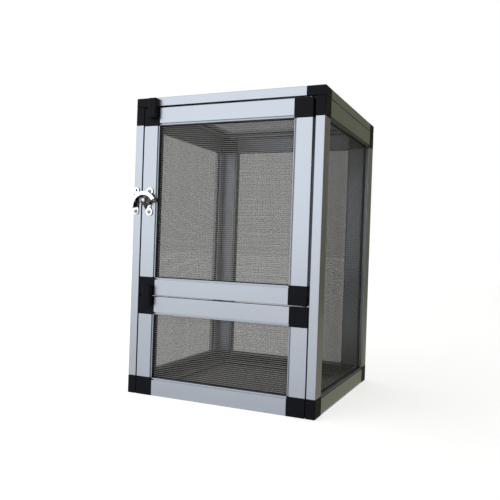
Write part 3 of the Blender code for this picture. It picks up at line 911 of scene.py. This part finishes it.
@dataclass
class FramedPanel:
    """A screen in a frame of four rails and four corner blocks.

    Rails on its edge-shaded sides have a strip of painted shade next to the joint inside the cage, and those
    on its bottom-shaded sides have painted shade there over their whole inner face.
    """

    name: str
    facing: Facing
    body: str
    one_piece: bool = False
    # sides whose rails get painted shade at the joint, and sides whose rails get painted shade over their
    # inner face
    covered: tuple[str, ...] = ()
    stained: tuple[str, ...] = ()
    profile: RailProfile = field(default_factory=RailProfile)
    weave: Weave = field(default_factory=Weave)
    block_radius: float = 0.0008
    rubber_radius: float = 0.0014
    rubber_depth: float = 0.0092
    rubber_reach: float = -0.0006
    rubber_roundness: int = 2

    def __post_init__(self) -> None:
        """Works out the panel's size and its place from the solid of its screen."""
        low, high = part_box(f"{self.name}_screen")
        basis = self.facing.basis()
        spans = [abs(span) for span in basis.transposed() @ (high - low)]
        rim = self.profile.face_width + self.profile.fit
        self.width = spans[0] + 2 * rim
        self.height = spans[1] + 2 * rim
        outward = spans[2] / 2 + self.profile.slot_front + self.profile.fit
        spot = (low + high) / 2 + basis @ Vector((0, 0, outward))
        self.place = Matrix.Translation(spot) @ basis.to_4x4()

    def quarter(self, index: int) -> tuple[Matrix, float, float, tuple[int, int, int]]:
        """Describes one side of the panel.

        Args:
            index: 0 for the side at the bottom of the panel's drawing, then anticlockwise.

        Returns:
            The turn of that side, the distance across the panel, the run along the side, and the direction in
            the row frame in which the side lies.
        """
        turn = Matrix.Rotation(math.radians(90 * index), 4, "Z")
        across, run = (self.height, self.width) if index % 2 == 0 else (self.width, self.height)
        way = (self.place @ turn).to_3x3() @ Vector((0, -1, 0))
        return turn, across, run, tuple(round(number) for number in way)

    def side_word(self, index: int) -> str:
        """Returns the name of a side."""
        return SIDE_WORDS[self.quarter(index)[3]]

    def corner_words(self, index: int) -> str:
        """Names the corner where a side starts.

        Args:
            index: the side's number.

        Returns:
            The words of the two sides that meet there.
        """
        order = list(SIDE_WORDS.values())
        words = sorted((self.side_word(index), self.side_word((index - 1) % 4)), key=order.index)
        return "_".join(words)

    def solids(self, node: str) -> list[str]:
        """Returns the solids that a rail or block stands for."""
        return [f"{self.name}_frame"] if self.one_piece else [node]

    def mesh_finish(self, finishes: Finishes) -> bpy.types.Material:
        """Returns the finish of the fine mesh between the wires."""
        special = {Facing.FRONT: finishes.front_mesh, Facing.DOWN: finishes.floor_mesh}
        return special.get(self.facing, finishes.side_mesh)

    def build_rails(self, finishes: Finishes, stock: float) -> float:
        """Builds the four rails, each cut from where the last one ended.

        Args:
            finishes: the shared materials.
            stock: how much of the bar is used up.

        Returns:
            How much of the bar is used up now.
        """
        section = self.profile.section()
        for index in range(4):
            turn, across, run, _ = self.quarter(index)
            length = run - 2 * (self.profile.width + self.profile.fit)
            word = self.side_word(index)
            # rails on the listed sides take a finish with painted shade on their inner face
            finish = finishes.covered_aluminium if word in self.covered else finishes.aluminium
            finish = finishes.stained_aluminium if word in self.stained else finish
            rail = new_object(f"{self.name}_{word}_bar", bar_mesh(section, stock, length), finish)
            offset = Vector((-length / 2 - stock, -across / 2, 0))
            rail.matrix_world = self.place @ turn @ Matrix.Translation(offset)
            settle(rail, self.body, self.solids(f"{self.name}_{word}_rail"))
            stock += length
        return stock

    def build_blocks(self, finish: bpy.types.Material) -> None:
        """Builds the four corner blocks.

        Args:
            finish: their material.
        """
        width = self.profile.width
        for index in range(4):
            turn, across, run, _ = self.quarter(index)
            words = self.corner_words(index)
            low = (0, 0, -self.profile.thickness)
            block = new_object(
                f"{self.name}_{words}_block", block_mesh(low, (width, width, 0), self.block_radius), finish
            )
            block.matrix_world = self.place @ turn @ Matrix.Translation((-run / 2, -across / 2, 0))
            settle(block, self.body, self.solids(f"{self.name}_{words}_corner"))

    def build_screen(self, finishes: Finishes) -> None:
        """Builds the wire screen and the rubber strips that hold it in the rails' slots.

        Args:
            finishes: the shared materials.
        """
        rim = 2 * (self.profile.face_width + 2 * self.profile.fit)
        wide = self.width - rim
        tall = self.height - rim
        weave = new_object(f"{self.name}_weave", self.weave.mesh(wide, tall), finishes.wire)
        half = self.weave.sheet_thickness / 2
        low = (-wide / 2, -tall / 2, -self.weave.depth - half)
        high = (wide / 2, tall / 2, half - self.weave.depth)
        sheet = new_object(f"{self.name}_fine_mesh", block_mesh(low, high, 0), self.mesh_finish(finishes))
        for piece in (weave, sheet):
            piece.matrix_world = self.place.copy()
            settle(piece, self.body, [f"{self.name}_screen"])
        runs = []
        inner = self.profile.width + self.rubber_reach
        for index in range(4):
            turn, across, run, _ = self.quarter(index)
            reach = run / 2 - self.profile.width - self.profile.fit
            ends = [Vector((side * reach, inner - across / 2, -self.rubber_depth)) for side in (-1, 1)]
            runs.append([turn @ end for end in ends])
        tubes = tube_curve("rubber", runs, self.rubber_radius, self.rubber_roundness)
        strips = new_object(f"{self.name}_rubber", tubes, finishes.rubber)
        strips.matrix_world = self.place.copy()
        settle(strips, self.body, [])

    def build(self, finishes: Finishes, stock: float) -> float:
        """Builds the panel.

        Args:
            finishes: the shared materials.
            stock: how much of the rails' bar is used up.

        Returns:
            How much of the bar is used up now.
        """
        stock = self.build_rails(finishes, stock)
        self.build_blocks(finishes.plastic)
        self.build_screen(finishes)
        return stock


@dataclass
class Latch:
    """The latch: the keeper on the left post, the door's base plate, and the lever that turns on it."""

    corner: Point = (-0.1511, -0.14325)
    keeper_ears: tuple[Point, ...] = ((0.0050, 0.2820), (0.0050, 0.3147))
    base_ears: tuple[Point, ...] = ((0.0291, 0.2811), (0.0291, 0.3131))
    ear_reach: float = 0.0068
    spare_hole: Point = (0.0306, 0.2882)
    spare_reach: float = 0.0046
    arch_centre: Point = (0.0205, 0.2900)
    arch_reach: Pair = (0.0174, 0.0240)
    arch_rise: float = 0.62
    hole_radius: float = 0.0017
    hole_sides: int = 24
    hole_depth: Pair = (0.0002, 0.0004)
    plate_edge: float = 0.00045
    lever_edge: float = 0.0012
    screw_nodes: tuple[str, ...] = ("keeper_screw", "latch_lower_screw", "latch_upper_screw")

    def spot(self, place: Point) -> Point:
        """Returns a place on the cage's front, measured from its left bottom corner, in the row frame."""
        return place[0] + self.corner[0], place[1]

    def ear_patches(self, ears: Sequence[Point]) -> tuple[Patch, ...]:
        """Returns the bright patches of a plate's ears."""
        return tuple(Patch(self.spot(ear), 0, self.ear_reach) for ear in ears)

    def cast(self, node: str, body: str, edge: float, finish: bpy.types.Material) -> None:
        """Builds a latch piece from its solid, with its edges rounded.

        Args:
            node: the solid.
            body: the body that it rides on.
            edge: the radius of its edges.
            finish: its material.
        """
        bm = bmesh.new()
        bm.from_mesh(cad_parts[node].data)
        bmesh.ops.remove_doubles(bm, verts=bm.verts, dist=WELD_DISTANCE)
        bmesh.ops.dissolve_limit(bm, angle_limit=FLAT_ANGLE, verts=bm.verts, edges=bm.edges)
        mesh = bpy.data.meshes.new(f"{node}_casting")
        bm.to_mesh(mesh)
        bm.free()
        rough = new_object("rough", mesh, None)
        bevel = rough.modifiers.new("edges", "BEVEL")
        bevel.width = edge
        bevel.segments = CURVE_STEPS
        bevel.limit_method = "ANGLE"
        bevel.angle_limit = SMOOTH_ANGLE
        shape = evaluated_mesh(rough)
        smooth(shape)
        piece = new_object(f"{node}_casting", shape, finish)
        settle(piece, body, [node])

    def build_hole(self, finish: bpy.types.Material) -> None:
        """Builds a dark disc of painted shade that stands for the bore which shows through the keeper's open
        ear.

        Args:
            finish: its material.
        """
        x, z = self.spot(self.keeper_ears[1])
        near, far = self.hole_depth
        bm = bmesh.new()
        bmesh.ops.create_cone(
            bm,
            cap_ends=True,
            segments=self.hole_sides,
            radius1=self.hole_radius,
            radius2=self.hole_radius,
            depth=far - near,
        )
        mesh = bpy.data.meshes.new("keeper_bore_shade")
        bm.to_mesh(mesh)
        bm.free()
        bore = new_object("keeper_bore_shade", mesh, finish)
        spot = Vector((x, self.corner[1] - (near + far) / 2, z))
        bore.matrix_world = Matrix.Translation(spot) @ Matrix.Rotation(math.radians(90), 4, "X")
        settle(bore, "cage", [])

    def build(self, finishes: Finishes) -> None:
        """Builds the latch.

        Args:
            finishes: the shared materials.
        """
        # bright patches where the plating shows, painted dark reflections and shade elsewhere
        keeper = PlatedCasting("keeper_plate", self.ear_patches(self.keeper_ears)).material()
        spare = Patch(self.spot(self.spare_hole), 0, self.spare_reach)
        base = PlatedCasting("base_plate", (*self.ear_patches(self.base_ears), spare)).material()
        arch = Patch(self.spot(self.arch_centre), *self.arch_reach, rise=self.arch_rise)
        lever = PlatedCasting("lever_plate", (arch,)).material()
        self.cast("latch_keeper", "cage", self.plate_edge, keeper)
        self.cast("latch_base", "door", self.plate_edge, base)
        self.cast("latch_lever", "latch_lever", self.lever_edge, lever)
        # a dark disc of painted shade in the keeper's open ear
        self.build_hole(finishes.rubber)
        dress(self.screw_nodes, finishes.screw)
        dress(("latch_rivet",), finishes.bright)


@dataclass
class Fittings:
    """The door's pivots and stop tabs."""

    tab_nodes: tuple[str, ...] = ("upper_stop_tab", "lower_stop_tab")
    steel_nodes: tuple[str, ...] = ("lower_pivot_pin", "upper_pivot_pin")

    def build(self, finishes: Finishes) -> None:
        """Dresses the fittings."""
        dress(self.tab_nodes, finishes.plastic)
        dress(self.steel_nodes, finishes.steel)


class Card(Enum):
    """What a card of the studio is made of: matte board that is lit, or a sheet that glows."""

    BOARD = "ShaderNodeBsdfDiffuse"
    GLOW = "ShaderNodeEmission"


@dataclass(frozen=True)
class Lamp:
    """A soft rectangular lamp that the camera doesn't see, where a radiance of 1 is white."""

    name: str
    spot: Triple
    size: Pair
    radiance: float

    def build(self, target: Triple) -> None:
        """Builds the lamp.

        Args:
            target: the point that it faces.
        """
        data = bpy.data.lights.new(self.name, "AREA")
        data.shape = "RECTANGLE"
        data.size, data.size_y = self.size
        data.energy = self.radiance * math.pi * self.size[0] * self.size[1]
        lamp = bpy.data.objects.new(self.name, data)
        bpy.context.scene.collection.objects.link(lamp)
        lamp.location = self.spot
        lamp.rotation_euler = (Vector(target) - Vector(self.spot)).to_track_quat("-Z", "Y").to_euler()
        lamp.visible_camera = False


@dataclass
class Studio:
    """The floor, the white surroundings, the cards, the lamps and the camera.

    The glow is the floor's own level that the camera sees, and the gleam is the one that metal mirrors.
    """

    camera_spot: Triple = (0.39789, -0.93287, 0.2334)
    azimuth: float = -23.822
    pitch: float = -0.3235
    roll: float = 1.9756
    lens: float = 43.6
    near_clip: float = 0.01
    floor_size: float = 30.0
    floor_color: Color = (0.8, 0.8, 0.8)
    ambient: float = 0.58
    floor_glow: float = 0.67
    floor_gleam: float = 0.46
    flag_color: Color = (0.34, 0.33, 0.21)
    card_glow: Color = (0.27, 0.265, 0.18)
    flag_aside: float = 0.45
    flag_run: Pair = (-0.40, 5.0)
    flag_rise: Pair = (0.04, 1.8)
    foot_width: Pair = (0.155, 1.2)
    foot_run: Pair = (-0.25, 5.0)
    foot_lift: float = 0.001
    target: Triple = (0, 0, 0.23)
    lamps: tuple[Lamp, ...] = (
        Lamp("key_lamp", spot=(-0.94, -1.78, 0.98), size=(2.1, 1.9), radiance=0.60),
        Lamp("edge_lamp", spot=(0.85, -0.85, 0.4), size=(0.3, 1.4), radiance=1.0),
    )

    def build_camera(self) -> None:
        """Places the camera where the picture was taken from."""
        turn, tilt, roll = (math.radians(angle) for angle in (self.azimuth, self.pitch, self.roll))
        forward = Vector((math.sin(turn) * math.cos(tilt), math.cos(turn) * math.cos(tilt), math.sin(tilt)))
        right = Vector((math.cos(turn), -math.sin(turn), 0))
        up = right.cross(forward)
        tilted_right = right * math.cos(roll) + up * math.sin(roll)
        tilted_up = up * math.cos(roll) - right * math.sin(roll)
        data = bpy.data.cameras.new("camera")
        data.lens = self.lens
        data.clip_start = self.near_clip
        camera = bpy.data.objects.new("camera", data)
        bpy.context.scene.collection.objects.link(camera)
        camera.matrix_world = Matrix.Translation(self.camera_spot) @ Matrix(
            (tilted_right, tilted_up, -forward)
        ).transposed().to_4x4()
        bpy.context.scene.camera = camera

    def build_world(self) -> None:
        """Makes the white surroundings that show, and the level at which they light."""
        world = bpy.data.worlds.new("studio")
        bpy.context.scene.world = world
        world.use_nodes = True
        sheet = NodeSheet(world.node_tree)
        path = sheet.node("ShaderNodeLightPath", output="Is Camera Ray")
        shown = path + path.output("Is Glossy Ray") + path.output("Is Transmission Ray")
        level = shown * (1 - self.ambient) + self.ambient
        light = sheet.node("ShaderNodeBackground", {}, {"Color": (1, 1, 1, 1), "Strength": level})
        sheet.node("ShaderNodeOutputWorld", {}, {"Surface": light})

    def build_floor(self) -> None:
        """Makes the pale floor, which shows white but for the object's shadow."""
        bm = bmesh.new()
        bmesh.ops.create_grid(bm, x_segments=1, y_segments=1, size=self.floor_size / 2)
        mesh = bpy.data.meshes.new("floor")
        bm.to_mesh(mesh)
        bm.free()
        made, sheet = new_material("floor", (1, 1, 1))
        path = sheet.node("ShaderNodeLightPath", output="Is Camera Ray")
        mirrored = path.output("Is Glossy Ray") + path.output("Is Transmission Ray")
        shown = path * self.floor_glow + mirrored * self.floor_gleam
        diffuse = sheet.node("ShaderNodeBsdfDiffuse", {}, {"Color": (*self.floor_color, 1)})
        glow = sheet.node("ShaderNodeEmission", {}, {"Strength": shown})
        both = sheet.node("ShaderNodeAddShader", {}, {0: diffuse, 1: glow})
        sheet.node("ShaderNodeOutputMaterial", {}, {"Surface": both})
        new_object("floor", mesh, made)

    def build_card(self, name: str, outline: Sequence[Triple], kind: Card) -> bpy.types.Object:
        """Makes a flat card that the camera doesn't see.

        Args:
            name: its name.
            outline: its four corners.
            kind: what it is made of.

        Returns:
            The card.
        """
        mesh = bpy.data.meshes.new(name)
        mesh.from_pydata(outline, [], [tuple(range(len(outline)))])
        made, sheet = new_material(name, self.flag_color)
        color = self.flag_color if kind is Card.BOARD else self.card_glow
        surface = sheet.node(kind.value, {}, {"Color": (*color, 1)})
        sheet.node("ShaderNodeOutputMaterial", {}, {"Surface": surface})
        made_card = new_object(name, mesh, made)
        made_card.visible_camera = False
        return made_card

    def build_cards(self) -> None:
        """Makes the dark card that shades the right side, and the one at its foot that only metal mirrors."""
        aside = self.flag_aside
        near, far = self.flag_run
        low, high = self.flag_rise
        upright = [(aside, near, low), (aside, far, low), (aside, far, high), (aside, near, high)]
        self.build_card("flag", upright, Card.BOARD)
        side, beyond = self.foot_width
        near, far = self.foot_run
        lift = self.foot_lift
        flat = [(side, near, lift), (beyond, near, lift), (beyond, far, lift), (side, far, lift)]
        foot = self.build_card("foot_card", flat, Card.GLOW)
        foot.visible_diffuse = False
        foot.visible_shadow = False
        foot.visible_transmission = False

    def build(self) -> None:
        """Builds the studio."""
        bpy.context.scene.view_settings.view_transform = "Standard"
        self.build_camera()
        self.build_world()
        self.build_floor()
        self.build_cards()
        for lamp in self.lamps:
            lamp.build(self.target)


def corners(bounds: tuple[Vector, Vector]) -> list[list[float]]:
    """Returns the corners of a box as plain numbers."""
    return [list(corner) for corner in bounds]


def main() -> None:
    """Builds the enclosure's looks and the studio."""
    logging.basicConfig(level=logging.INFO, format="%(name)s: %(message)s")
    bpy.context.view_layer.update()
    finishes = Finishes.make()
    ends = ("front", "back")
    foot = ("bottom",)
    all_round = ("front", "back", "left", "right")
    bold = Weave(radius=0.00030)
    # the sides listed for a panel get painted shade on their rails' inner faces
    panels = (
        FramedPanel("top", Facing.UP, "cage", covered=all_round),
        FramedPanel("back", Facing.BACK, "cage", one_piece=True, stained=foot),
        FramedPanel("left_side", Facing.LEFT, "cage", covered=ends, stained=foot),
        FramedPanel("right_side", Facing.RIGHT, "cage", covered=ends, stained=foot),
        FramedPanel("floor", Facing.DOWN, "cage", one_piece=True, stained=all_round, weave=bold),
        FramedPanel("lower_front", Facing.FRONT, "cage", weave=bold),
        FramedPanel("door", Facing.FRONT, "door", weave=bold),
    )
    stock = 0.0
    for panel in panels:
        stock = panel.build(finishes, stock)
    Fittings().build(finishes)
    Latch().build(finishes)
    Studio().build()


if __name__ == "__main__":
    main()
